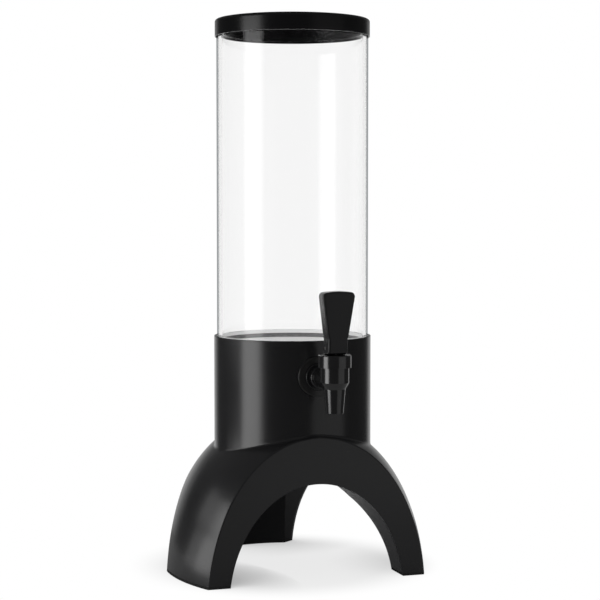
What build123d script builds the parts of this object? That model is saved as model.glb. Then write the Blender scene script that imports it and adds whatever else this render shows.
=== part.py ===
from build123d import *
import math
import os

os.makedirs("parts", exist_ok=True)

# Beverage tower, millimetres, +Z up, front towards -Y. It is set out about the tube's axis and saved
# with its origin at table level, midway between the front of the tap and the back of the rear leg.

# Clear tube
tube_od = 130.0
tube_wall = 4.0
tube_length = 347.5
tube_floor_t = 5.0
bond_gap = 0.05

# Stand: collar, dome and shelf
collar_gap = 0.2
collar_wall = 2.3
collar_top = 201.0
collar_skirt = 3.6
shelf_z = 121.0
shelf_t = 4.0
skin = 3.0
dome_top = 121.6
dome_reach = 110.0
dome_flat = 28.0
dome_sink = 17.0
lobe_offset = 58.0
rear_lobe_extra = 5.0
front_ledge = 2.5
rear_face = 92.0
rear_face_az = 129.0
face_edge_r = 1.2
collar_foot_r = 2.5
collar_lip_r = 0.5

# Arches and the vault between the legs
front_arch_half = 75.7
front_arch_top = 82.0
rear_arch_half = 60.0
rear_arch_top = 80.0
arch_sink = 15.0
cavity_r = 91.2
cavity_top = 75.0
cavity_back = 8.0
recess_r = 30.0
recess_top = 84.0

# Foot pads
sole_t = 2.0
plug_h = 6.0
plug_gap = 0.15

# Liner screws
screw_d = 4.0
screw_count = 3
screw_circle_r = 17.0
screw_head_d = 8.0
screw_head_h = 2.6
screw_grip = 12.0
boss_d = 10.0
thread_gap = 0.05
hole_gap = 0.2

# Lid
lid_wall = 1.0
lid_gap = 0.3
lid_top_t = 2.5
lid_rim_h = 14.5
lid_edge_r = 2.4
lid_ring_gap = 0.4
lid_ring_wall = 2.0
lid_ring_drop = 10.5

# Tap, set out along the outward radius at x = 0
tap_out = 110.0
shank_z = 171.5
shank_d = 16.0
shank_bore_d = 7.6
shank_hole_gap = 0.2
shank_tail = 3.0
saddle_d = 33.0
outer_gasket_t = 2.0
saddle_edge_r = 0.8
flange_d = 23.0
flange_t = 3.2
flange_edge_r = 1.0
step_d = 18.4
step_t = 5.6
step_edge_r = 0.8
gasket_d = 27.0
inner_gasket_t = 4.5
washer_d = 28.0
washer_t = 1.5
nut_af = 24.0
nut_t = 8.0
spout_bottom = 145.4
spout_top = 165.6
spout_tip_d = 14.2
spout_root_d = 17.6
spout_bore_d = 10.0
spout_lip_r = 0.8
body_bottom = 170.8
body_d = 23.3
bonnet_bottom = 182.9
bonnet_top = 193.2
bonnet_d = 26.8
neck_d = 19.0
neck_h = 5.5
neck_gap = 0.1
seat_z = 167.5
seat_hole_d = 8.0
chamber_d = 15.0
bonnet_roof = 4.6

# Valve inside the tap
cup_d = 12.4
cup_h = 4.5
cup_socket_h = 2.8
tip_d = 4.0
seat_lift_gap = 0.02
stem_d = 6.0
stem_flange_d = 11.0
stem_flange_t = 2.0
stem_gap = 0.06
tongue_t = 4.0
spring_wire = 0.9
spring_mean_d = 9.0
spring_turns = 4.5
spring_gap = 0.05

# Handle and its cam
pin_d = 3.0
pin_gap = 0.05
pin_press = 0.01
pin_short = 0.4
pin_above = 5.4
cam_gap = 0.15
cam_rate = 4.3
cam_turn = math.radians(40.0)
neck_w = 16.6
neck_back = 5.5
neck_edge_r = 2.0
shoulder_z = 206.8
handle_top = 244.5
paddle_low_w = 17.2
paddle_top_w = 28.0
paddle_t = 12.5
paddle_reach = 11.8
paddle_crown = 1.2
paddle_corner_r = 3.6
paddle_edge_r = 1.5
slot_gap = 0.2

# Cutters run past what they cut by this much
overrun = 1.0

# Sizes that follow
tube_r = tube_od / 2
tube_in_r = tube_r - tube_wall
tube_top = shelf_z + tube_length
collar_in_r = tube_r + collar_gap
collar_r = collar_in_r + collar_wall
front_face = collar_r + front_ledge
to_middle = (tap_out + bonnet_d / 2 - dome_reach - rear_lobe_extra) / 2
plate_low = shelf_z - shelf_t
far = 4 * dome_reach
tall = 2 * dome_top


def on_front(sketch):
    return Plane.XZ * sketch


def oval_half(span, top, sink):
    rise = top + sink
    return span / math.sqrt(1 - (sink / rise) ** 2), rise


def half_space(az, distance):
    block = Pos(0, -(distance + far / 2), 0) * Box(far, far, 2 * tall)
    return Rot(0, 0, az) * block


def lobe(az, shift, inset):
    # One side of the dome: an upright half oval turned about an axis set beyond the tower's own.
    wide, rise = oval_half(dome_reach - dome_flat, dome_top, dome_sink)
    root = dome_flat + lobe_offset
    oval = Pos(root, -dome_sink) * Ellipse(wide - inset, rise - inset)
    middle = Pos(root / 2, -dome_sink) * Rectangle(root, 2 * (rise - inset))
    window = Pos(far / 2, far / 2) * Rectangle(far, far)
    solid = revolve(on_front((oval + middle) & window), Axis.Z)
    return Rot(0, 0, az) * Pos(0, lobe_offset - shift, 0) * solid


def dome(inset):
    solid = lobe(90, 0, inset) & lobe(-90, 0, inset) & lobe(180, rear_lobe_extra, inset)
    solid = solid - half_space(0, front_face - inset)
    solid = solid - half_space(rear_face_az, rear_face - inset)
    return solid - half_space(-rear_face_az, rear_face - inset)


def arch(half, top, grow):
    wide, rise = oval_half(half, top, arch_sink)
    return Pos(0, -arch_sink) * Ellipse(wide + grow, rise + grow)


def vault(grow):
    # The open space between the legs: three arches that run in to a domed middle.
    front = extrude(on_front(arch(front_arch_half, front_arch_top, grow)), amount=far)
    rear = extrude(on_front(arch(rear_arch_half, rear_arch_top, grow)), amount=far)
    wide, rise = oval_half(cavity_r, cavity_top, arch_sink)
    slice_ = Pos(0, -arch_sink) * Ellipse(wide + grow, rise + grow)
    slice_ = slice_ & (Pos(far / 2, 0) * Rectangle(far, far))
    middle = Pos(0, cavity_back, 0) * revolve(on_front(slice_), Axis.Z)
    recess_h = recess_top + grow
    recess = Pos(0, cavity_back, recess_h / 2) * Cylinder(recess_r + grow, recess_h)
    space = front + Rot(0, 0, rear_face_az) * rear + Rot(0, 0, -rear_face_az) * rear
    return space + middle + recess


def rod(radius, low, high):
    return Pos(0, 0, (low + high) / 2) * Cylinder(radius, high - low)


def slab(low, high):
    return Pos(0, 0, (low + high) / 2) * Box(far, far, high - low)


def outward(radius, near, away):
    # A rod on the tap's shank axis, between two distances from the tube axis.
    middle = Pos(0, -(near + away) / 2, shank_z)
    return middle * Rot(90, 0, 0) * Cylinder(radius, away - near)


def save(solid, name):
    placed = Pos(0, to_middle, 0) * solid
    placed.label = name
    export_step(placed, "parts/" + name + ".step")


# The collar's wall runs down into the dome, to below the dome's height at the collar's sides
dome_wide, dome_rise = oval_half(dome_reach - dome_flat, dome_top, dome_sink)
side_run = (collar_r - dome_flat) / dome_wide
side_z = dome_rise * math.sqrt(1 - side_run ** 2) - dome_sink
collar_low = side_z - collar_skirt

# Stand shell: collar, shelf and the outer skin of the three legs
outer = dome(0)
crest = []
for face in outer.faces().filter_by(GeomType.PLANE):
    if abs(face.normal_at().Z) < 0.1:
        crest = crest + [edge for edge in face.edges() if edge.center().Z > sole_t]
outer = fillet(crest, face_edge_r)
inner = dome(skin)
space = vault(0)
space_grown = vault(skin)
boss_low = recess_top + skin
screw_spots = []
for index in range(screw_count):
    turn = math.radians(90 + 360 * index / screw_count)
    spot_x = screw_circle_r * math.cos(turn)
    spot_y = cavity_back + screw_circle_r * math.sin(turn)
    screw_spots.append(Pos(spot_x, spot_y, 0))

shell = outer + rod(collar_r, collar_low, collar_top)
foot_line = []
for edge in shell.edges():
    on_collar = all(abs(math.hypot(end.X, end.Y) - collar_r) < 0.01 for end in edge.vertices())
    if on_collar and edge.geom_type != GeomType.LINE and edge.center().Z < collar_top - overrun:
        foot_line.append(edge)
shell = fillet(foot_line, collar_foot_r)
shell = fillet(shell.edges().sort_by(Axis.Z)[-1], collar_lip_r)
shell = shell - (inner - rod(collar_r, collar_low, collar_top))
shell = shell - rod(collar_in_r, collar_low, plate_low)
shell = shell - rod(collar_in_r, shelf_z, collar_top)
for spot in screw_spots:
    shell = shell + spot * rod(boss_d / 2, boss_low, plate_low)
for spot in screw_spots:
    shell = shell - spot * rod(screw_d / 2 + thread_gap, boss_low, boss_low + screw_grip + overrun)
shell = shell - space - slab(-tall, sole_t)
shell = shell - outward(shank_d / 2 + shank_hole_gap, tube_in_r, collar_r + overrun)
save(shell, "stand_shell")

# Vault liner: the inner skin that closes the legs and the arches from below
liner = (space_grown - space) & inner
liner = liner - slab(-tall, sole_t)
for spot in screw_spots:
    liner = liner - spot * rod(screw_d / 2 + hole_gap, recess_top - overrun, boss_low + overrun)
save(liner, "vault_liner")

# Liner screws
screw = rod(screw_head_d / 2, recess_top - screw_head_h, recess_top)
screw = fillet(screw.edges().sort_by(Axis.Z)[0], screw_head_h / 2)
screw = screw + rod(screw_d / 2, recess_top, boss_low + screw_grip)
drive = Pos(0, 0, recess_top - screw_head_h) * Cylinder(screw_d / 3, screw_head_h)
screw = screw - drive
save(Compound([spot * screw for spot in screw_spots]), "liner_screws")

# Foot pads: a sole under each leg with a plug that pushes up into it
soles = (outer - space) & slab(0, sole_t)
plugs = (dome(skin + plug_gap) - vault(skin + plug_gap)) & slab(sole_t, sole_t + plug_h)
pads = {"left": None, "right": None, "rear": None}
for sole in soles.solids():
    centre = sole.center()
    side = "rear" if centre.Y > 0 else ("left" if centre.X < 0 else "right")
    pads[side] = sole
for plug in plugs.solids():
    centre = plug.center()
    side = "rear" if centre.Y > 0 else ("left" if centre.X < 0 else "right")
    pads[side] = pads[side] + plug
for side in pads:
    save(pads[side], "foot_pad_" + side)

# Reservoir: tube, bonded floor and lid
tube = rod(tube_r, shelf_z, tube_top) - rod(tube_in_r, shelf_z, tube_top)
tube = tube - outward(shank_d / 2 + shank_hole_gap, tube_in_r - tube_wall, tube_r + overrun)
save(tube, "reservoir_tube")
save(rod(tube_in_r - bond_gap, shelf_z, shelf_z + tube_floor_t), "tube_floor")

lid_r = tube_r + lid_gap + lid_wall
lid_top = tube_top + lid_top_t
lid = rod(lid_r, lid_top - lid_rim_h, lid_top)
lid = fillet(lid.edges().sort_by(Axis.Z)[-1], lid_edge_r)
lid = lid - rod(tube_r + lid_gap, lid_top - lid_rim_h, tube_top)
ring_r = tube_in_r - lid_ring_gap
ring = rod(ring_r, tube_top - lid_ring_drop, tube_top)
lid = lid + ring - rod(ring_r - lid_ring_wall, tube_top - lid_ring_drop, tube_top)
save(lid, "lid")

# Tap seals and fixings along the shank
gasket_front = collar_r + outer_gasket_t
flange_front = gasket_front + flange_t
step_front = flange_front + step_t
gasket_back = tube_in_r - inner_gasket_t
washer_back = gasket_back - washer_t
nut_back = washer_back - nut_t
shank_hole = outward(shank_d / 2 + hole_gap, nut_back - shank_tail, step_front)
shank_thread = outward(shank_d / 2 + thread_gap, nut_back - shank_tail, step_front)

saddle = outward(saddle_d / 2, tube_in_r, gasket_front) & rod(gasket_front, shelf_z, collar_top)
saddle = fillet(saddle.edges().sort_by(Axis.Y)[0], saddle_edge_r)
save(saddle - rod(collar_r, shelf_z, collar_top) - shank_hole, "outer_gasket")

gasket = outward(gasket_d / 2, gasket_back, tube_in_r) & rod(tube_in_r, shelf_z, tube_top)
save(gasket - shank_hole, "inner_gasket")

flange = outward(flange_d / 2, collar_r, flange_front)
flange = fillet(flange.edges().sort_by(Axis.Y)[0], flange_edge_r)
save(flange - rod(gasket_front, shelf_z, collar_top) - shank_hole, "tap_flange")

save(outward(washer_d / 2, washer_back, gasket_back) - shank_hole, "inner_washer")

hexagon = RegularPolygon(nut_af / 2, 6, major_radius=False)
nut = Pos(0, -nut_back, shank_z) * extrude(on_front(hexagon), amount=nut_t)
save(nut - shank_thread, "tap_nut")

# Tap body: shank, valve chamber and spout
at_tap = Pos(0, -tap_out, 0)
barrel = rod(body_d / 2, body_bottom, bonnet_bottom)
throat = Pos(0, 0, (spout_top + body_bottom) / 2)
throat = throat * Cone(spout_root_d / 2, body_d / 2, body_bottom - spout_top)
spout = Pos(0, 0, (spout_bottom + spout_top) / 2)
spout = spout * Cone(spout_tip_d / 2, spout_root_d / 2, spout_top - spout_bottom)
neck_top = bonnet_bottom + neck_h
tap = at_tap * (barrel + throat + spout + rod(neck_d / 2, bonnet_bottom, neck_top))
tap = tap + outward(shank_d / 2, nut_back - shank_tail, tap_out)
step = outward(step_d / 2, flange_front, step_front)
tap = tap + fillet(step.edges().sort_by(Axis.Y)[0], step_edge_r)
tap = fillet(tap.edges().sort_by(Axis.Z)[0], spout_lip_r)
tap = tap - at_tap * rod(chamber_d / 2, seat_z, neck_top)
tap = tap - at_tap * rod(seat_hole_d / 2, spout_bottom, seat_z)
tap = tap - at_tap * rod(spout_bore_d / 2, spout_bottom, spout_top - overrun)
tap = tap - outward(shank_bore_d / 2, nut_back - shank_tail, tap_out)
save(tap, "tap_body")

# Bonnet over the valve chamber
roof_low = bonnet_top - bonnet_roof
bonnet = rod(bonnet_d / 2, bonnet_bottom, bonnet_top)
bonnet = fillet(bonnet.edges().sort_by(Axis.Z)[-1], bonnet_roof / 5)
bonnet = bonnet - rod(neck_d / 2 + neck_gap, bonnet_bottom, roof_low)
bonnet = bonnet - rod(stem_d / 2 + stem_gap, roof_low, bonnet_top)
save(at_tap * bonnet, "bonnet")

# Valve: silicone cup, stem and return spring
cup_low = seat_z + seat_lift_gap
cup_top = cup_low + cup_h
cup = rod(cup_d / 2, cup_low, cup_top)
cup = fillet(cup.edges().sort_by(Axis.Z)[0], cup_h / 4)
cup = cup - rod(tip_d / 2, cup_top - cup_socket_h, cup_top)
save(at_tap * cup, "seat_cup")

pin_z = bonnet_top + pin_above
stem_flange_top = cup_top + stem_flange_t
stem = rod(tip_d / 2, cup_top - cup_socket_h, cup_top)
stem = stem + rod(stem_flange_d / 2, cup_top, stem_flange_top)
stem = stem + rod(stem_d / 2, stem_flange_top, pin_z + stem_d / 2)
tongue_low = bonnet_top + cam_gap - cam_rate * cam_turn
for side in (-1, 1):
    cut_w = stem_d
    cut = Pos(side * (tongue_t + cut_w) / 2, 0, (tongue_low + pin_z + stem_d) / 2)
    stem = stem - cut * Box(cut_w, 2 * stem_d, pin_z + stem_d - tongue_low)
crown = Pos(0, 0, pin_z) * Rot(0, 90, 0) * Cylinder(stem_d / 2, stem_d)
corner = Pos(0, 0, pin_z + stem_d / 2) * Box(stem_d, stem_d, stem_d)
stem = stem - (corner - crown)
across = Pos(0, 0, pin_z) * Rot(0, 90, 0)
stem = stem - across * Cylinder(pin_d / 2 + pin_gap, 2 * stem_d)
save(at_tap * stem, "stem")

coil_low = stem_flange_top + spring_gap + spring_wire / 2
coil_high = roof_low - spring_gap - spring_wire / 2
path = Helix((coil_high - coil_low) / spring_turns, coil_high - coil_low, spring_mean_d / 2)
wire = Plane(path @ 0, z_dir=path % 0) * Circle(spring_wire / 2)
coil = Pos(0, 0, coil_low) * sweep(wire, path=path)
save(at_tap * coil, "return_spring")

# Handle: a cam foot that lifts the stem, and the paddle above it
foot = pin_above - cam_gap


def cam_point(turn):
    reach = foot + cam_rate * turn
    y = -reach * math.sin(turn) - cam_rate * math.cos(turn)
    z = -reach * math.cos(turn) + cam_rate * math.sin(turn)
    return (y, z)


cam_start = cam_point(0)
cam_middle = cam_point(cam_turn / 2)
cam_end = cam_point(cam_turn)
shoulder = shoulder_z - pin_z
rise = handle_top - pin_z
top_back = paddle_t - paddle_reach
front_lean = (paddle_reach + cam_end[0]) / (rise - cam_end[1])
back_lean = (neck_back - top_back) / (rise + foot)
shoulder_front = cam_end[0] - front_lean * (shoulder - cam_end[1])
shoulder_back = neck_back - back_lean * (shoulder + foot)
outline = Line((neck_back, -foot), cam_start)
ends = [(-1, 0), (-math.cos(cam_turn), math.sin(cam_turn))]
outline = outline + Spline(cam_start, cam_middle, cam_end, tangents=ends)
outline = outline + Polyline(
    cam_end, (shoulder_front, shoulder), (shoulder_back, shoulder), (neck_back, -foot))
foot_side = make_face(outline)
neck = extrude(Plane.YZ * foot_side, amount=neck_w / 2, both=True)
neck = fillet(neck.edges().filter_by(Axis.X, reverse=True).filter_by(Axis.Y, reverse=True), neck_edge_r)
low_h = paddle_low_w / 2
top_h = paddle_top_w / 2
side_top = rise - paddle_crown
flat = Polyline((-top_h, side_top), (-low_h, shoulder), (low_h, shoulder), (top_h, side_top))
flat = flat + ThreePointArc((top_h, side_top), (0, rise), (-top_h, side_top))
flat = make_face(flat)
flat = fillet(flat.vertices().sort_by(Axis.Y)[-2:], paddle_corner_r)
lean = Polyline(
    (shoulder_front, shoulder), (-paddle_reach, rise), (top_back, rise), (shoulder_back, shoulder),
    (shoulder_front, shoulder))
paddle = Pos(0, neck_back, 0) * extrude(on_front(flat), amount=neck_back + paddle_reach)
paddle = paddle & extrude(Plane.YZ * make_face(lean), amount=paddle_top_w, both=True)
rims = paddle.faces().sort_by(Axis.Y)
rims = [edge for edge in rims[0].edges() + rims[-1].edges() if edge.center().Z > shoulder + overrun]
paddle = fillet(rims, paddle_edge_r)
handle = neck + paddle

# The tongue of the stem swings in a wedge-shaped slot
swing_r = stem_d / 2 + slot_gap
swing_y = -swing_r * math.cos(cam_turn)
swing_z = swing_r * math.sin(cam_turn)
run = 2 * pin_above
run_y = swing_y - run * math.sin(cam_turn)
run_z = swing_z - run * math.cos(cam_turn)
wedge = Polyline((swing_r, 0), (swing_r, run_z), (run_y, run_z), (swing_y, swing_z), (swing_r, 0))
wedge = make_face(wedge) + Circle(swing_r)
slot_w = tongue_t + 2 * slot_gap
handle = handle - extrude(Plane.YZ * wedge, amount=slot_w / 2, both=True)
handle = handle - Rot(0, 90, 0) * Cylinder(pin_d / 2 + pin_press, 2 * neck_w)
at_pin = Pos(0, -tap_out, pin_z)
save(at_pin * handle, "handle")

pin = Rot(0, 90, 0) * Cylinder(pin_d / 2, neck_w - pin_short)
save(at_pin * pin, "handle_pin")
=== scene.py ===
"""Beverage tower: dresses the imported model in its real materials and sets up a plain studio."""
import math

import bpy
from mathutils import Matrix, Vector


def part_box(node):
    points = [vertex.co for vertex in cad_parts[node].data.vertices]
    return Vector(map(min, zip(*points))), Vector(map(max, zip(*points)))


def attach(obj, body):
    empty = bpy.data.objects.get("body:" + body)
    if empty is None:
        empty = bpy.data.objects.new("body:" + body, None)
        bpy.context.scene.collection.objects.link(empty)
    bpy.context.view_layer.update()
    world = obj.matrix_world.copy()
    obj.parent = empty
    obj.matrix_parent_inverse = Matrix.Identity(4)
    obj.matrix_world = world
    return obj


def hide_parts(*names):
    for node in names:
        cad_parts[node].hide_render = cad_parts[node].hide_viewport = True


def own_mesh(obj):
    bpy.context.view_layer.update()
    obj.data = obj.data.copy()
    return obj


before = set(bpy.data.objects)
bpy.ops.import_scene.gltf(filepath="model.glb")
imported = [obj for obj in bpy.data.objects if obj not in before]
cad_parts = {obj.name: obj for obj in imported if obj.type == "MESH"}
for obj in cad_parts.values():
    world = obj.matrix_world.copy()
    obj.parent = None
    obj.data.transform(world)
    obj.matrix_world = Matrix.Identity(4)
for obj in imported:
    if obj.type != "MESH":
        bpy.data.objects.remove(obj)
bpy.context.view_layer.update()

bl_info = {
    "name": "Beverage tower",
    "version": (1, 0, 0),
    "blender": (4, 5, 0),
    "location": "3D View > Sidebar > Tower",
    "description": "Materials, small parts and studio for a table-top beverage tower",
    "category": "Object",
}

MM = 0.001
WHITE = (1.0, 1.0, 1.0, 1.0)
TUBE_LOW, TUBE_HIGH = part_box("reservoir_tube")
TUBE_RADIUS = (TUBE_HIGH.x - TUBE_LOW.x) / 2
AXIS_Y = (TUBE_LOW.y + TUBE_HIGH.y) / 2
COLLAR_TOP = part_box("stand_shell")[1].z
LAMP_TARGET = (0.0, AXIS_Y, 0.2)


class TowerFinish(bpy.types.PropertyGroup):
    """Colours and surface finishes of the tower's materials."""

    stand_colour: bpy.props.StringProperty(
        name="Stand colour", description="sRGB hex colour of the moulded stand", default="#121213")
    stand_roughness: bpy.props.FloatProperty(
        name="Stand roughness", description="Satin of the moulded stand", default=0.23,
        min=0.0, max=1.0, subtype="FACTOR")
    stand_grain: bpy.props.FloatProperty(
        name="Stand grain", description="Width of one grain of the spark-eroded mould texture",
        default=0.7 * MM, unit="LENGTH", precision=5)
    liner_colour: bpy.props.StringProperty(
        name="Liner colour", description="sRGB hex colour of the inner liner", default="#222223")
    lid_colour: bpy.props.StringProperty(
        name="Lid colour", description="sRGB hex colour of the polished lid", default="#050506")
    lid_roughness: bpy.props.FloatProperty(
        name="Lid roughness", description="Gloss of the polished lid", default=0.22,
        min=0.0, max=1.0, subtype="FACTOR")
    tap_colour: bpy.props.StringProperty(
        name="Tap colour", description="sRGB hex colour of the tap", default="#101011")
    tap_roughness: bpy.props.FloatProperty(
        name="Tap roughness", description="Semi-gloss of the tap", default=0.16,
        min=0.0, max=1.0, subtype="FACTOR")
    lever_roughness: bpy.props.FloatProperty(
        name="Lever roughness", description="Dry shine of the lever and the plate", default=0.26,
        min=0.0, max=1.0, subtype="FACTOR")
    tube_tint: bpy.props.StringProperty(
        name="Tube tint", description="sRGB hex colour that the clear tube lets through",
        default="#fdfdfd")
    # Painted shade: the grey of the dark line drawn where the tube's wall is seen edge-on.
    painted_edge_shade: bpy.props.StringProperty(
        name="Tube edge tint", description="sRGB hex colour that the tube's wall lets through edge-on",
        default="#c6c8c9")
    rim_bead: bpy.props.FloatProperty(
        name="Rim bead", description="Height of the bead of sealant at the collar's rim",
        default=2.7 * MM, unit="LENGTH", precision=5)
    low_bead: bpy.props.FloatProperty(
        name="Lower bead", description="Height of the bead of sealant lower down", default=5.0 * MM,
        unit="LENGTH", precision=5)
    bead_space: bpy.props.FloatProperty(
        name="Space between beads", description="Clear height between the two beads of sealant",
        default=3.9 * MM, unit="LENGTH", precision=5)
    smear: bpy.props.FloatProperty(
        name="Smear", description="How much of the wall the sealant hides between its beads",
        default=0.1, min=0.0, max=1.0, subtype="FACTOR")
    sealant_colour: bpy.props.StringProperty(
        name="Sealant colour", description="sRGB hex colour of the milky sealant", default="#fcfcfc")
    rubber_colour: bpy.props.StringProperty(
        name="Rubber colour", description="sRGB hex colour of the soles", default="#121212")
    seal_colour: bpy.props.StringProperty(
        name="Seal colour", description="sRGB hex colour of the silicone seals", default="#131313")
    steel_colour: bpy.props.StringProperty(
        name="Steel colour", description="sRGB hex colour of the drawn steel", default="#c8c7c4")


class TowerSpring(bpy.types.PropertyGroup):
    """Sizes of the tap's return spring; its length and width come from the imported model."""

    wire: bpy.props.FloatProperty(
        name="Wire", description="Diameter of the spring's wire", default=0.9 * MM,
        unit="LENGTH", precision=5)
    turns: bpy.props.FloatProperty(
        name="Turns", description="Turns from one end of the spring to the other", default=4.5)
    travel: bpy.props.FloatProperty(
        name="Travel", description="How far the rising stem presses the spring together",
        default=3.0 * MM, unit="LENGTH", precision=5)


class TowerStage(bpy.types.PropertyGroup):
    """Camera and studio light."""

    azimuth: bpy.props.FloatProperty(
        name="Camera azimuth", description="How far the camera stands to the tower's left of its front",
        default=math.radians(17.95), subtype="ANGLE")
    pan: bpy.props.FloatProperty(
        name="Camera pan", description="How far the camera looks past the tube's axis, to its right",
        default=math.radians(0.257), subtype="ANGLE")
    pitch: bpy.props.FloatProperty(
        name="Camera pitch", description="How far the camera looks down", default=math.radians(3.284),
        subtype="ANGLE")
    distance: bpy.props.FloatProperty(
        name="Camera distance", description="Level distance from the tube's axis to the lens",
        default=1.4643, unit="LENGTH")
    height: bpy.props.FloatProperty(
        name="Camera height", description="Height of the lens above the table", default=0.3152,
        unit="LENGTH")
    lens: bpy.props.FloatProperty(
        name="Focal length", description="Focal length on a 36 mm wide sensor", default=102.0)
    ambient: bpy.props.FloatProperty(
        name="Ambient light", description="Strength of the even light from all round", default=0.6)
    backdrop_turn: bpy.props.FloatProperty(
        name="Backdrop turn", description="How far the backdrop is turned to the tower's right",
        default=math.radians(18), subtype="ANGLE")
    room_turn: bpy.props.FloatProperty(
        name="Room turn", description="How far the room's dim side is turned to the tower's left",
        default=math.radians(45), subtype="ANGLE")
    floor_radius: bpy.props.FloatProperty(
        name="Floor radius", description="Radius of the pale table top", default=0.4, unit="LENGTH")
    floor_colour: bpy.props.StringProperty(
        name="Floor colour", description="sRGB hex colour of the pale floor", default="#b4b4b4")


def hex_to_linear(code):
    """Turns an sRGB hex colour into linear red, green, blue and alpha."""
    channels = [int(code[start:start + 2], 16) / 255 for start in (1, 3, 5)]
    linear = [c / 12.92 if c <= 0.04045 else ((c + 0.055) / 1.055) ** 2.4 for c in channels]
    return (linear[0], linear[1], linear[2], 1.0)


def add_node(tree, kind, settings=None, values=None, links=None):
    """Adds a node, sets its properties and input values, and links sockets to its inputs."""
    node = tree.nodes.new(kind)
    for key, value in (settings or {}).items():
        setattr(node, key, value)
    for key, value in (values or {}).items():
        node.inputs[key].default_value = value
    for key, socket in (links or {}).items():
        tree.links.new(socket, node.inputs[key])
    return node


def new_material(name):
    """An empty node material and its tree."""
    material = bpy.data.materials.new(name)
    material.use_nodes = True
    material.node_tree.nodes.clear()
    return material, material.node_tree


def moulded(name, colour, roughness, grain, relief, edge, sheen_patch, ior=1.53):
    """A moulded plastic: mould-grain relief, slightly uneven gloss and softly rounded edges."""
    grain_depth = 0.05 * MM
    patch_width = 45 * MM
    paler = 1.35
    material, tree = new_material(name)
    dark = hex_to_linear(colour)
    pale = [channel * paler for channel in dark[:3]] + [1.0]
    place = add_node(tree, "ShaderNodeTexCoord")
    fine = add_node(
        tree, "ShaderNodeTexNoise", values={"Scale": 1 / grain, "Detail": 2.0},
        links={"Vector": place.outputs["Object"]})
    broad = add_node(
        tree, "ShaderNodeTexNoise", values={"Scale": 1 / patch_width, "Detail": 3.0},
        links={"Vector": place.outputs["Object"]})
    gloss = add_node(
        tree, "ShaderNodeMapRange",
        values={"To Min": roughness - sheen_patch, "To Max": roughness + sheen_patch},
        links={"Value": broad.outputs[0]})
    tone = add_node(
        tree, "ShaderNodeMix", {"data_type": "RGBA"}, values={6: dark, 7: pale},
        links={0: broad.outputs[0]})
    rounded = add_node(tree, "ShaderNodeBevel", {"samples": 4}, values={"Radius": edge})
    bump = add_node(
        tree, "ShaderNodeBump", values={"Strength": relief, "Distance": grain_depth},
        links={"Height": fine.outputs[0], "Normal": rounded.outputs["Normal"]})
    shader = add_node(
        tree, "ShaderNodeBsdfPrincipled", values={"IOR": ior},
        links={"Base Color": tone.outputs[2], "Roughness": gloss.outputs[0], "Normal": bump.outputs[0]})
    add_node(tree, "ShaderNodeOutputMaterial", links={"Surface": shader.outputs[0]})
    return material


def steel(colour):
    """Drawn stainless steel: fine marks from the die and a bright soft highlight."""
    name = "Stainless steel drawn"
    if name in bpy.data.materials:
        return bpy.data.materials[name]
    # The marks are about 0.05 mm wide; they are drawn coarser so that they show.
    mark_width = 0.3 * MM
    mark_depth = 0.02 * MM
    material, tree = new_material(name)
    place = add_node(tree, "ShaderNodeTexCoord")
    marks = add_node(
        tree, "ShaderNodeTexNoise", values={"Scale": 1 / mark_width, "Detail": 2.0},
        links={"Vector": place.outputs["Object"]})
    gloss = add_node(
        tree, "ShaderNodeMapRange", values={"To Min": 0.22, "To Max": 0.38},
        links={"Value": marks.outputs[0]})
    bump = add_node(
        tree, "ShaderNodeBump", values={"Strength": 0.1, "Distance": mark_depth},
        links={"Height": marks.outputs[0]})
    shader = add_node(
        tree, "ShaderNodeBsdfPrincipled", values={"Base Color": hex_to_linear(colour), "Metallic": 1.0},
        links={"Roughness": gloss.outputs[0], "Normal": bump.outputs[0]})
    add_node(tree, "ShaderNodeOutputMaterial", links={"Surface": shader.outputs[0]})
    return material


def dress(names, material):
    """Gives CAD nodes a material in place of the plain packed one."""
    for name in names:
        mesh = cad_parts[name].data
        mesh.materials.clear()
        mesh.materials.append(material)


class TOWER_OT_dress_stand(bpy.types.Operator):
    """Moulded stand, its inner liner and the screws between them"""

    bl_idname = "tower.dress_stand"
    bl_label = "Dress stand"

    def execute(self, context):
        finish = context.scene.tower_finish
        # Injection-moulded ABS from a spark-eroded mould: near-black satin with a fine even grain.
        # The real grain is about 0.1 mm; it is drawn coarser so that it shows at this size.
        stand = moulded(
            "ABS black satin moulded", finish.stand_colour, finish.stand_roughness,
            grain=finish.stand_grain, relief=0.12, edge=0.5 * MM, sheen_patch=0.03)
        dress(["stand_shell"], stand)
        # The liner comes from a rougher mould and is never polished: it shows almost no highlight.
        liner = moulded(
            "ABS black matt moulded", finish.liner_colour, roughness=0.5,
            grain=1.0 * MM, relief=0.2, edge=0.4 * MM, sheen_patch=0.04, ior=1.2)
        dress(["vault_liner"], liner)
        dress(["liner_screws"], steel(finish.steel_colour))
        return {"FINISHED"}


class TOWER_OT_dress_feet(bpy.types.Operator):
    """Soles under the three legs"""

    bl_idname = "tower.dress_feet"
    bl_label = "Dress feet"

    def execute(self, context):
        finish = context.scene.tower_finish
        # Moulded thermoplastic rubber: dark, dry and matt, with a little bloom in patches.
        sole = moulded(
            "Rubber black moulded", finish.rubber_colour, roughness=0.7,
            grain=0.8 * MM, relief=0.3, edge=0.4 * MM, sheen_patch=0.08)
        dress(["foot_pad_left", "foot_pad_right", "foot_pad_rear"], sole)
        return {"FINISHED"}


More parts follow.
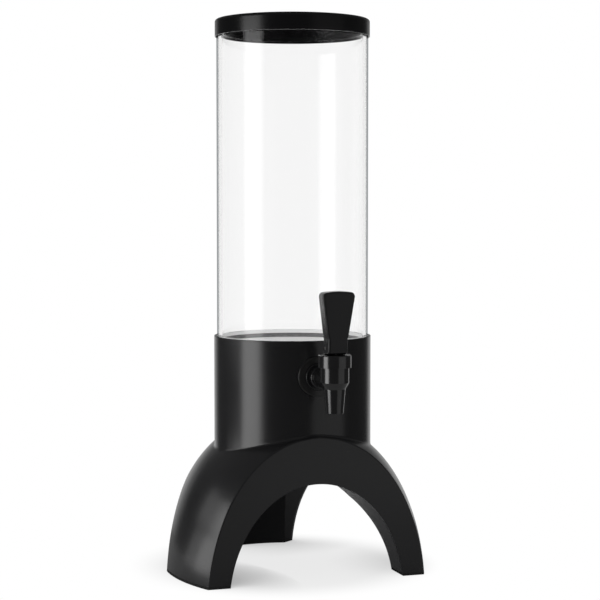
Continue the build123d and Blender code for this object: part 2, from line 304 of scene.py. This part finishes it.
def clear_wall(tree, finish, place):
    """The tube's clear wall, with a painted dark line where it is seen edge-on; lamps shine through it.
    """
    line_start = 0.72
    line_full = 0.84
    outer_skin = 0.5 * MM
    # Acrylic has an IOR of 1.49. It is lower here, so that the wall bends the backdrop very little.
    ior = 1.27
    shadow_share = 0.93
    # Painted shade: seen edge-on, the outer face turns into a grey see-through tint, standing in for the
    # dim room that the wall mirrors there.
    facing = add_node(tree, "ShaderNodeLayerWeight", values={"Blend": 0.5})
    edge_on = add_node(
        tree, "ShaderNodeMapRange", {"interpolation_type": "SMOOTHSTEP"},
        values={"From Min": line_start, "From Max": line_full},
        links={"Value": facing.outputs["Facing"]})
    # The outer face alone draws the line, so each side has one and not two.
    flat = add_node(
        tree, "ShaderNodeVectorMath", {"operation": "MULTIPLY"}, values={1: (1.0, 1.0, 0.0)},
        links={0: place.outputs["Object"]})
    reach = add_node(
        tree, "ShaderNodeVectorMath", {"operation": "DISTANCE"}, values={1: (0.0, AXIS_Y, 0.0)},
        links={0: flat.outputs[0]})
    outside = add_node(
        tree, "ShaderNodeMath", {"operation": "GREATER_THAN"}, values={1: TUBE_RADIUS - outer_skin},
        links={0: reach.outputs["Value"]})
    line = add_node(
        tree, "ShaderNodeMath", {"operation": "MULTIPLY"},
        links={0: edge_on.outputs[0], 1: outside.outputs[0]})
    clear = add_node(
        tree, "ShaderNodeBsdfPrincipled",
        values={"Base Color": hex_to_linear(finish.tube_tint), "Roughness": 0.0, "IOR": ior,
                "Transmission Weight": 1.0})
    edge = add_node(
        tree, "ShaderNodeBsdfTransparent", values={"Color": hex_to_linear(finish.painted_edge_shade)})
    wall = add_node(
        tree, "ShaderNodeMixShader",
        links={0: line.outputs[0], 1: clear.outputs[0], 2: edge.outputs[0]})
    through = add_node(
        tree, "ShaderNodeBsdfTransparent",
        values={"Color": (shadow_share, shadow_share, shadow_share, 1.0)})
    path = add_node(tree, "ShaderNodeLightPath")
    return add_node(
        tree, "ShaderNodeMixShader",
        links={0: path.outputs["Is Shadow Ray"], 1: wall.outputs[0], 2: through.outputs[0]})


def sealant_share(tree, finish, place):
    """How much of the wall sealant hides: two beads of it, at the collar's rim and lower down."""
    height = add_node(tree, "ShaderNodeSeparateXYZ", links={0: place.outputs["Object"]})
    rim = add_node(
        tree, "ShaderNodeMath", {"operation": "COMPARE"},
        values={1: COLLAR_TOP - finish.rim_bead / 2, 2: finish.rim_bead / 2},
        links={0: height.outputs["Z"]})
    low_middle = COLLAR_TOP - finish.rim_bead - finish.bead_space - finish.low_bead / 2
    low = add_node(
        tree, "ShaderNodeMath", {"operation": "COMPARE"},
        values={1: low_middle, 2: finish.low_bead / 2}, links={0: height.outputs["Z"]})
    beads = add_node(
        tree, "ShaderNodeMath", {"operation": "MAXIMUM"},
        links={0: rim.outputs[0], 1: low.outputs[0]})
    # A thin smear of it stays on the wall between the beads.
    space_middle = COLLAR_TOP - finish.rim_bead - finish.bead_space / 2
    between = add_node(
        tree, "ShaderNodeMath", {"operation": "COMPARE"},
        values={1: space_middle, 2: finish.bead_space / 2}, links={0: height.outputs["Z"]})
    return add_node(
        tree, "ShaderNodeMath", {"operation": "MULTIPLY_ADD"}, values={1: finish.smear},
        links={0: between.outputs[0], 2: beads.outputs[0]})


class TOWER_OT_dress_tube(bpy.types.Operator):
    """Clear tube and the floor bonded into it"""

    bl_idname = "tower.dress_tube"
    bl_label = "Dress tube"

    def execute(self, context):
        finish = context.scene.tower_finish
        # Cast acrylic tube, polished: colourless, water-clear, with sharp reflections.
        material, tree = new_material("Acrylic clear cast polished")
        place = add_node(tree, "ShaderNodeTexCoord")
        wall = clear_wall(tree, finish, place)
        share = sealant_share(tree, finish, place)
        # Cured silicone sealant: milky white, with a soft shine.
        milky = add_node(
            tree, "ShaderNodeBsdfPrincipled",
            values={"Base Color": hex_to_linear(finish.sealant_colour), "Roughness": 0.4})
        joined = add_node(
            tree, "ShaderNodeMixShader",
            links={0: share.outputs[0], 1: wall.outputs[0], 2: milky.outputs[0]})
        add_node(tree, "ShaderNodeOutputMaterial", links={"Surface": joined.outputs[0]})
        dress(["reservoir_tube", "tube_floor"], material)
        return {"FINISHED"}


class TOWER_OT_dress_lid(bpy.types.Operator):
    """Lift-off lid"""

    bl_idname = "tower.dress_lid"
    bl_label = "Dress lid"

    def execute(self, context):
        finish = context.scene.tower_finish
        # ABS from a polished mould: deep black with clear soft-edged reflections.
        lid = moulded(
            "ABS black polished", finish.lid_colour, finish.lid_roughness,
            grain=1.2 * MM, relief=0.03, edge=0.9 * MM, sheen_patch=0.02)
        dress(["lid"], lid)
        return {"FINISHED"}


class TOWER_OT_dress_tap(bpy.types.Operator):
    """Tap, its seals and fixings, and its lever"""

    bl_idname = "tower.dress_tap"
    bl_label = "Dress tap"

    def execute(self, context):
        finish = context.scene.tower_finish
        # Moulded acetal: slightly waxy black semi-gloss, bright highlights along every rounded edge.
        tap = moulded(
            "Acetal black semi-gloss moulded", finish.tap_colour, finish.tap_roughness,
            grain=0.6 * MM, relief=0.06, edge=0.35 * MM, sheen_patch=0.03, ior=1.7)
        dress(["tap_body", "bonnet", "stem", "inner_washer", "tap_nut"], tap)
        # The lever and the plate come from a finely etched mould: the same black with a drier shine.
        etched = moulded(
            "Acetal black etched moulded", finish.tap_colour, finish.lever_roughness,
            grain=0.6 * MM, relief=0.08, edge=0.35 * MM, sheen_patch=0.03, ior=1.42)
        dress(["handle", "tap_flange"], etched)
        # Moulded silicone: black, softly shining where it bends over its rim.
        seal = moulded(
            "Silicone black moulded", finish.seal_colour, roughness=0.3,
            grain=0.8 * MM, relief=0.1, edge=0.3 * MM, sheen_patch=0.05)
        dress(["outer_gasket", "inner_gasket", "seat_cup"], seal)
        dress(["handle_pin"], steel(finish.steel_colour))
        return {"FINISHED"}


class TOWER_OT_wind_spring(bpy.types.Operator):
    """Return spring of the tap, which the rising stem presses together"""

    bl_idname = "tower.wind_spring"
    bl_label = "Wind spring"

    def execute(self, context):
        spring = context.scene.tower_spring
        low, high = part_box("return_spring")
        axis_x = (low.x + high.x) / 2
        axis_y = (low.y + high.y) / 2
        length = high.z - low.z
        wire_radius = spring.wire / 2
        coil_radius = (high.x - low.x) / 2 - wire_radius
        rise = (length - spring.wire) / (math.tau * spring.turns)
        sides = 10
        steps_per_turn = 32
        steps = round(spring.turns * steps_per_turn)
        corners = []
        for step in range(steps + 1):
            turn = math.tau * step / steps_per_turn
            outward = Vector((math.cos(turn), math.sin(turn), 0.0))
            along = Vector((-math.sin(turn) * coil_radius, math.cos(turn) * coil_radius, rise))
            upward = outward.cross(along.normalized())
            centre = Vector((axis_x, axis_y, low.z + wire_radius + rise * turn))
            centre += outward * coil_radius
            for side in range(sides):
                angle = math.tau * side / sides
                spoke = outward * math.cos(angle) + upward * math.sin(angle)
                corners.append(centre + spoke * wire_radius)
        faces = [tuple(reversed(range(sides))), tuple(range(steps * sides, (steps + 1) * sides))]
        for step in range(steps):
            for side in range(sides):
                after = (side + 1) % sides
                first = step * sides
                faces.append((first + side, first + after, first + sides + after, first + sides + side))
        mesh = bpy.data.meshes.new("spring_coil")
        mesh.from_pydata(corners, [], faces)
        mesh.shade_smooth()
        mesh.materials.append(steel(context.scene.tower_finish.steel_colour))
        coil = bpy.data.objects.new("spring_coil", mesh)
        context.scene.collection.objects.link(coil)
        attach(coil, "stand")
        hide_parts("return_spring")
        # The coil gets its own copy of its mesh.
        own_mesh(coil)
        return {"FINISHED"}


def lay_floor(scene, stage):
    """Pale round table top: lit by the studio, and running into the white backdrop towards its edge."""
    sides = 64
    corners = []
    for step in range(sides):
        turn = math.tau * step / sides
        corners.append((math.cos(turn) * stage.floor_radius, math.sin(turn) * stage.floor_radius, 0.0))
    mesh = bpy.data.meshes.new("studio_floor")
    mesh.from_pydata(corners, [], [tuple(range(sides))])
    floor = bpy.data.objects.new("studio_floor", mesh)
    scene.collection.objects.link(floor)
    # Uncoated paper: pale and matt, with no highlight; it shows the tower's real shadow. Painted shade
    # on top: its white glow is held back round a middle point under the tower.
    painted_shade_middle = (-0.005, 0.015, 0.0)
    painted_shade_start = 0.085
    painted_shade_end = 0.14
    painted_shadow_reach = 0.06
    material, tree = new_material("Paper white matt")
    path = add_node(tree, "ShaderNodeLightPath")
    seen = add_node(
        tree, "ShaderNodeMath", {"operation": "MAXIMUM"},
        links={0: path.outputs["Is Camera Ray"], 1: path.outputs["Is Transmission Ray"]})
    place = add_node(tree, "ShaderNodeTexCoord")
    away = add_node(
        tree, "ShaderNodeVectorMath", {"operation": "DISTANCE"}, values={1: painted_shade_middle},
        links={0: place.outputs["Object"]})
    # Painted shadow: an occlusion test tilted towards the left-hand softbox holds back the white glow
    # close to each leg's right, so the floor is darker there.
    painted_shadow_way = add_node(tree, "ShaderNodeCombineXYZ", values={"X": -0.75, "Y": -0.35, "Z": 0.56})
    shade = add_node(
        tree, "ShaderNodeAmbientOcclusion", {"samples": 16}, values={"Distance": painted_shadow_reach},
        links={"Normal": painted_shadow_way.outputs[0]})
    near_share = add_node(
        tree, "ShaderNodeMapRange", values={"To Min": 0.15, "To Max": 0.8},
        links={"Value": shade.outputs["AO"]})
    share = add_node(
        tree, "ShaderNodeMapRange", {"interpolation_type": "SMOOTHSTEP"},
        values={"From Min": painted_shade_start, "From Max": painted_shade_end, "To Max": 1.0},
        links={"Value": away.outputs["Value"], "To Min": near_share.outputs[0]})
    lift = add_node(
        tree, "ShaderNodeMath", {"operation": "MULTIPLY"},
        links={0: seen.outputs[0], 1: share.outputs[0]})
    paper = add_node(tree, "ShaderNodeBsdfDiffuse", values={"Color": hex_to_linear(stage.floor_colour)})
    glow = add_node(tree, "ShaderNodeEmission", values={"Color": WHITE})
    both = add_node(
        tree, "ShaderNodeMixShader",
        links={0: lift.outputs[0], 1: paper.outputs[0], 2: glow.outputs[0]})
    add_node(tree, "ShaderNodeOutputMaterial", links={"Surface": both.outputs[0]})
    mesh.materials.append(material)


def light_room(scene, stage):
    """White backdrop behind the tower; the room in front of it is dim, as a studio is."""
    world = bpy.data.worlds.new("Studio room")
    scene.world = world
    world.use_nodes = True
    tree = world.node_tree
    tree.nodes.clear()
    path = add_node(tree, "ShaderNodeLightPath")
    way = add_node(tree, "ShaderNodeTexCoord")
    # Reflections show a sheet that is brightest behind the tower and low down, under a dim ceiling.
    parts = add_node(tree, "ShaderNodeSeparateXYZ", links={0: way.outputs["Generated"]})
    facing = add_node(
        tree, "ShaderNodeVectorMath", {"operation": "DOT_PRODUCT"},
        values={1: (math.sin(stage.backdrop_turn), math.cos(stage.backdrop_turn), 0.0)},
        links={0: way.outputs["Generated"]})
    behind = add_node(
        tree, "ShaderNodeMapRange", {"interpolation_type": "SMOOTHSTEP"},
        values={"From Min": 0.75, "From Max": 0.93, "To Min": 0.03, "To Max": 0.78},
        links={"Value": facing.outputs["Value"]})
    under = add_node(
        tree, "ShaderNodeMapRange", {"interpolation_type": "SMOOTHSTEP"},
        values={"From Min": -0.15, "From Max": 0.3, "To Min": 1.0, "To Max": 0.1},
        links={"Value": parts.outputs["Z"]})
    above = add_node(
        tree, "ShaderNodeMapRange", {"interpolation_type": "SMOOTHSTEP"},
        values={"From Min": 0.12, "From Max": 0.4, "To Min": 0.03, "To Max": 0.1},
        links={"Value": parts.outputs["Z"]})
    sheet = add_node(
        tree, "ShaderNodeMath", {"operation": "MULTIPLY_ADD"},
        links={0: behind.outputs[0], 1: under.outputs[0], 2: above.outputs[0]})
    mirrored = add_node(
        tree, "ShaderNodeMath", {"operation": "MAXIMUM"},
        links={0: path.outputs["Is Glossy Ray"], 1: path.outputs["Is Transmission Ray"]})
    dim = add_node(
        tree, "ShaderNodeMix", values={2: stage.ambient},
        links={0: mirrored.outputs[0], 3: sheet.outputs[0]})
    seen = add_node(
        tree, "ShaderNodeMath", {"operation": "MAXIMUM"},
        links={0: path.outputs["Is Camera Ray"], 1: path.outputs["Is Transmission Ray"]})
    # What the tube's walls and the lid mirror from the room's dim side is dim, too.
    met = add_node(
        tree, "ShaderNodeMath", {"operation": "GREATER_THAN"}, values={1: 0.5},
        links={0: path.outputs["Glossy Depth"]})
    inward = add_node(
        tree, "ShaderNodeVectorMath", {"operation": "DOT_PRODUCT"},
        values={1: (math.sin(stage.room_turn), math.cos(stage.room_turn), 0.0)},
        links={0: way.outputs["Generated"]})
    front = add_node(
        tree, "ShaderNodeMapRange",
        values={"From Min": -0.3, "From Max": 0.3, "To Min": 1.0, "To Max": 0.0},
        links={"Value": inward.outputs["Value"]})
    turned = add_node(
        tree, "ShaderNodeMath", {"operation": "MULTIPLY"},
        links={0: met.outputs[0], 1: front.outputs[0]})
    straight = add_node(
        tree, "ShaderNodeMath", {"operation": "SUBTRACT", "use_clamp": True},
        links={0: seen.outputs[0], 1: turned.outputs[0]})
    level = add_node(
        tree, "ShaderNodeMix", values={3: 1.0}, links={0: straight.outputs[0], 2: dim.outputs[0]})
    sky = add_node(
        tree, "ShaderNodeBackground", values={"Color": WHITE}, links={"Strength": level.outputs[0]})
    add_node(tree, "ShaderNodeOutputWorld", links={"Surface": sky.outputs[0]})


def aimed(spot, ahead):
    """Places a lamp or a camera at a spot, looking ahead."""
    return Matrix.Translation(spot) @ ahead.to_track_quat("-Z", "Y").to_matrix().to_4x4()


def softbox(name, bearing, distance, height, width, tall, radiance, target=LAMP_TARGET):
    """A rectangular lamp that faces the target; its bearing is in degrees from the front to +X."""
    lamp = bpy.data.lights.new(name, "AREA")
    lamp.shape = "RECTANGLE"
    lamp.size = width
    lamp.size_y = tall
    lamp.energy = radiance * math.pi * width * tall
    holder = bpy.data.objects.new(name, lamp)
    holder.visible_camera = False
    bpy.context.scene.collection.objects.link(holder)
    turn = math.radians(bearing)
    spot = Vector((math.sin(turn) * distance, AXIS_Y - math.cos(turn) * distance, height))
    holder.matrix_world = aimed(spot, Vector(target) - spot)
    return holder


def flag_off(name, node, lamps):
    """Keeps the light of some lamps off everything but one CAD node."""
    lit = bpy.data.collections.new(name)
    lit.objects.link(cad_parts[node])
    for lamp in lamps:
        lamp.light_linking.receiver_collection = lit


def hang_lamps():
    """Softboxes round the tower; the last six are each flagged off all but one piece."""
    # The key's sheet of light is brighter towards its middle, so its reflection has soft sides.
    softbox("key_softbox", bearing=-79, distance=1.6, height=0.16, width=0.98, tall=0.92, radiance=1.7)
    softbox("key_core", bearing=-80, distance=1.6, height=0.16, width=0.78, tall=0.92, radiance=1.6)
    softbox("fill_softbox", bearing=36, distance=1.7, height=0.08, width=1.6, tall=0.94, radiance=0.33)
    # Four small ones draw out the curve of the stand's legs.
    side = softbox(
        "side_softbox", bearing=-113, distance=0.9, height=0.305, width=0.62, tall=0.26, radiance=0.8)
    side_core = softbox(
        "side_core", bearing=-103, distance=0.9, height=0.305, width=0.34, tall=0.26, radiance=1.6)
    foot = softbox(
        "foot_softbox", bearing=-101, distance=0.278, height=0.038, width=0.17, tall=0.085,
        radiance=0.65)
    foot_core = softbox(
        "foot_core", bearing=-95, distance=0.278, height=0.038, width=0.1, tall=0.085, radiance=1.4)
    flag_off("stand_only", "stand_shell", [side, side_core, foot, foot_core])
    # A small card under the dome lights the inner face of the right front leg.
    card = softbox(
        "arch_card", bearing=175, distance=0.045, height=0.045, width=0.05, tall=0.07, radiance=13.0,
        target=(0.085, -0.09, 0.045))
    flag_off("liner_only", "vault_liner", [card])
    # A broad one in front lights the milky sealant; it is not mirrored in the tube or seen through it.
    front = softbox(
        "bead_softbox", bearing=-18, distance=1.3, height=0.5, width=1.6, tall=1.0, radiance=2.8)
    front.visible_glossy = False
    front.visible_transmission = False
    flag_off("tube_only", "reservoir_tube", [front])


def place_camera(scene, stage):
    """Camera in front of the tower, a little to its left and level with the middle of the clear tube."""
    camera = bpy.data.cameras.new("photo_camera")
    camera.lens = stage.lens
    camera.sensor_width = 36.0
    holder = bpy.data.objects.new("photo_camera", camera)
    scene.collection.objects.link(holder)
    bearing = stage.azimuth
    across = math.sin(bearing) * stage.distance
    back = math.cos(bearing) * stage.distance
    turn = bearing + stage.pan
    level = math.cos(stage.pitch)
    ahead = Vector((math.sin(turn) * level, math.cos(turn) * level, -math.sin(stage.pitch)))
    holder.matrix_world = aimed(Vector((-across, AXIS_Y - back, stage.height)), ahead)
    scene.camera = holder


class TOWER_OT_set_stage(bpy.types.Operator):
    """Floor, studio light, backdrop and camera"""

    bl_idname = "tower.set_stage"
    bl_label = "Set stage"

    def execute(self, context):
        scene = context.scene
        stage = scene.tower_stage
        scene.view_settings.view_transform = "Standard"
        lay_floor(scene, stage)
        light_room(scene, stage)
        hang_lamps()
        place_camera(scene, stage)
        return {"FINISHED"}


class TOWER_PT_panel(bpy.types.Panel):
    """Lists the tower's pieces and its studio"""

    bl_idname = "TOWER_PT_panel"
    bl_label = "Beverage tower"
    bl_space_type = "VIEW_3D"
    bl_region_type = "UI"
    bl_category = "Tower"

    def draw(self, context):
        layout = self.layout
        for operator in OPERATORS:
            layout.operator(operator.bl_idname)
        scene = context.scene
        for group in (scene.tower_finish, scene.tower_spring, scene.tower_stage):
            for key in group.__annotations__:
                layout.prop(group, key)


OPERATORS = (
    TOWER_OT_dress_stand,
    TOWER_OT_dress_feet,
    TOWER_OT_dress_tube,
    TOWER_OT_dress_lid,
    TOWER_OT_dress_tap,
    TOWER_OT_wind_spring,
    TOWER_OT_set_stage,
)
CLASSES = (TowerFinish, TowerSpring, TowerStage) + OPERATORS + (TOWER_PT_panel,)


def register():
    for item in CLASSES:
        bpy.utils.register_class(item)
    bpy.types.Scene.tower_finish = bpy.props.PointerProperty(type=TowerFinish)
    bpy.types.Scene.tower_spring = bpy.props.PointerProperty(type=TowerSpring)
    bpy.types.Scene.tower_stage = bpy.props.PointerProperty(type=TowerStage)


def unregister():
    del bpy.types.Scene.tower_stage
    del bpy.types.Scene.tower_spring
    del bpy.types.Scene.tower_finish
    for item in reversed(CLASSES):
        bpy.utils.unregister_class(item)


def main():
    register()
    bpy.ops.tower.dress_stand()
    bpy.ops.tower.dress_feet()
    bpy.ops.tower.dress_tube()
    bpy.ops.tower.dress_lid()
    bpy.ops.tower.dress_tap()
    bpy.ops.tower.wind_spring()
    bpy.ops.tower.set_stage()


if __name__ == "__main__":
    main()
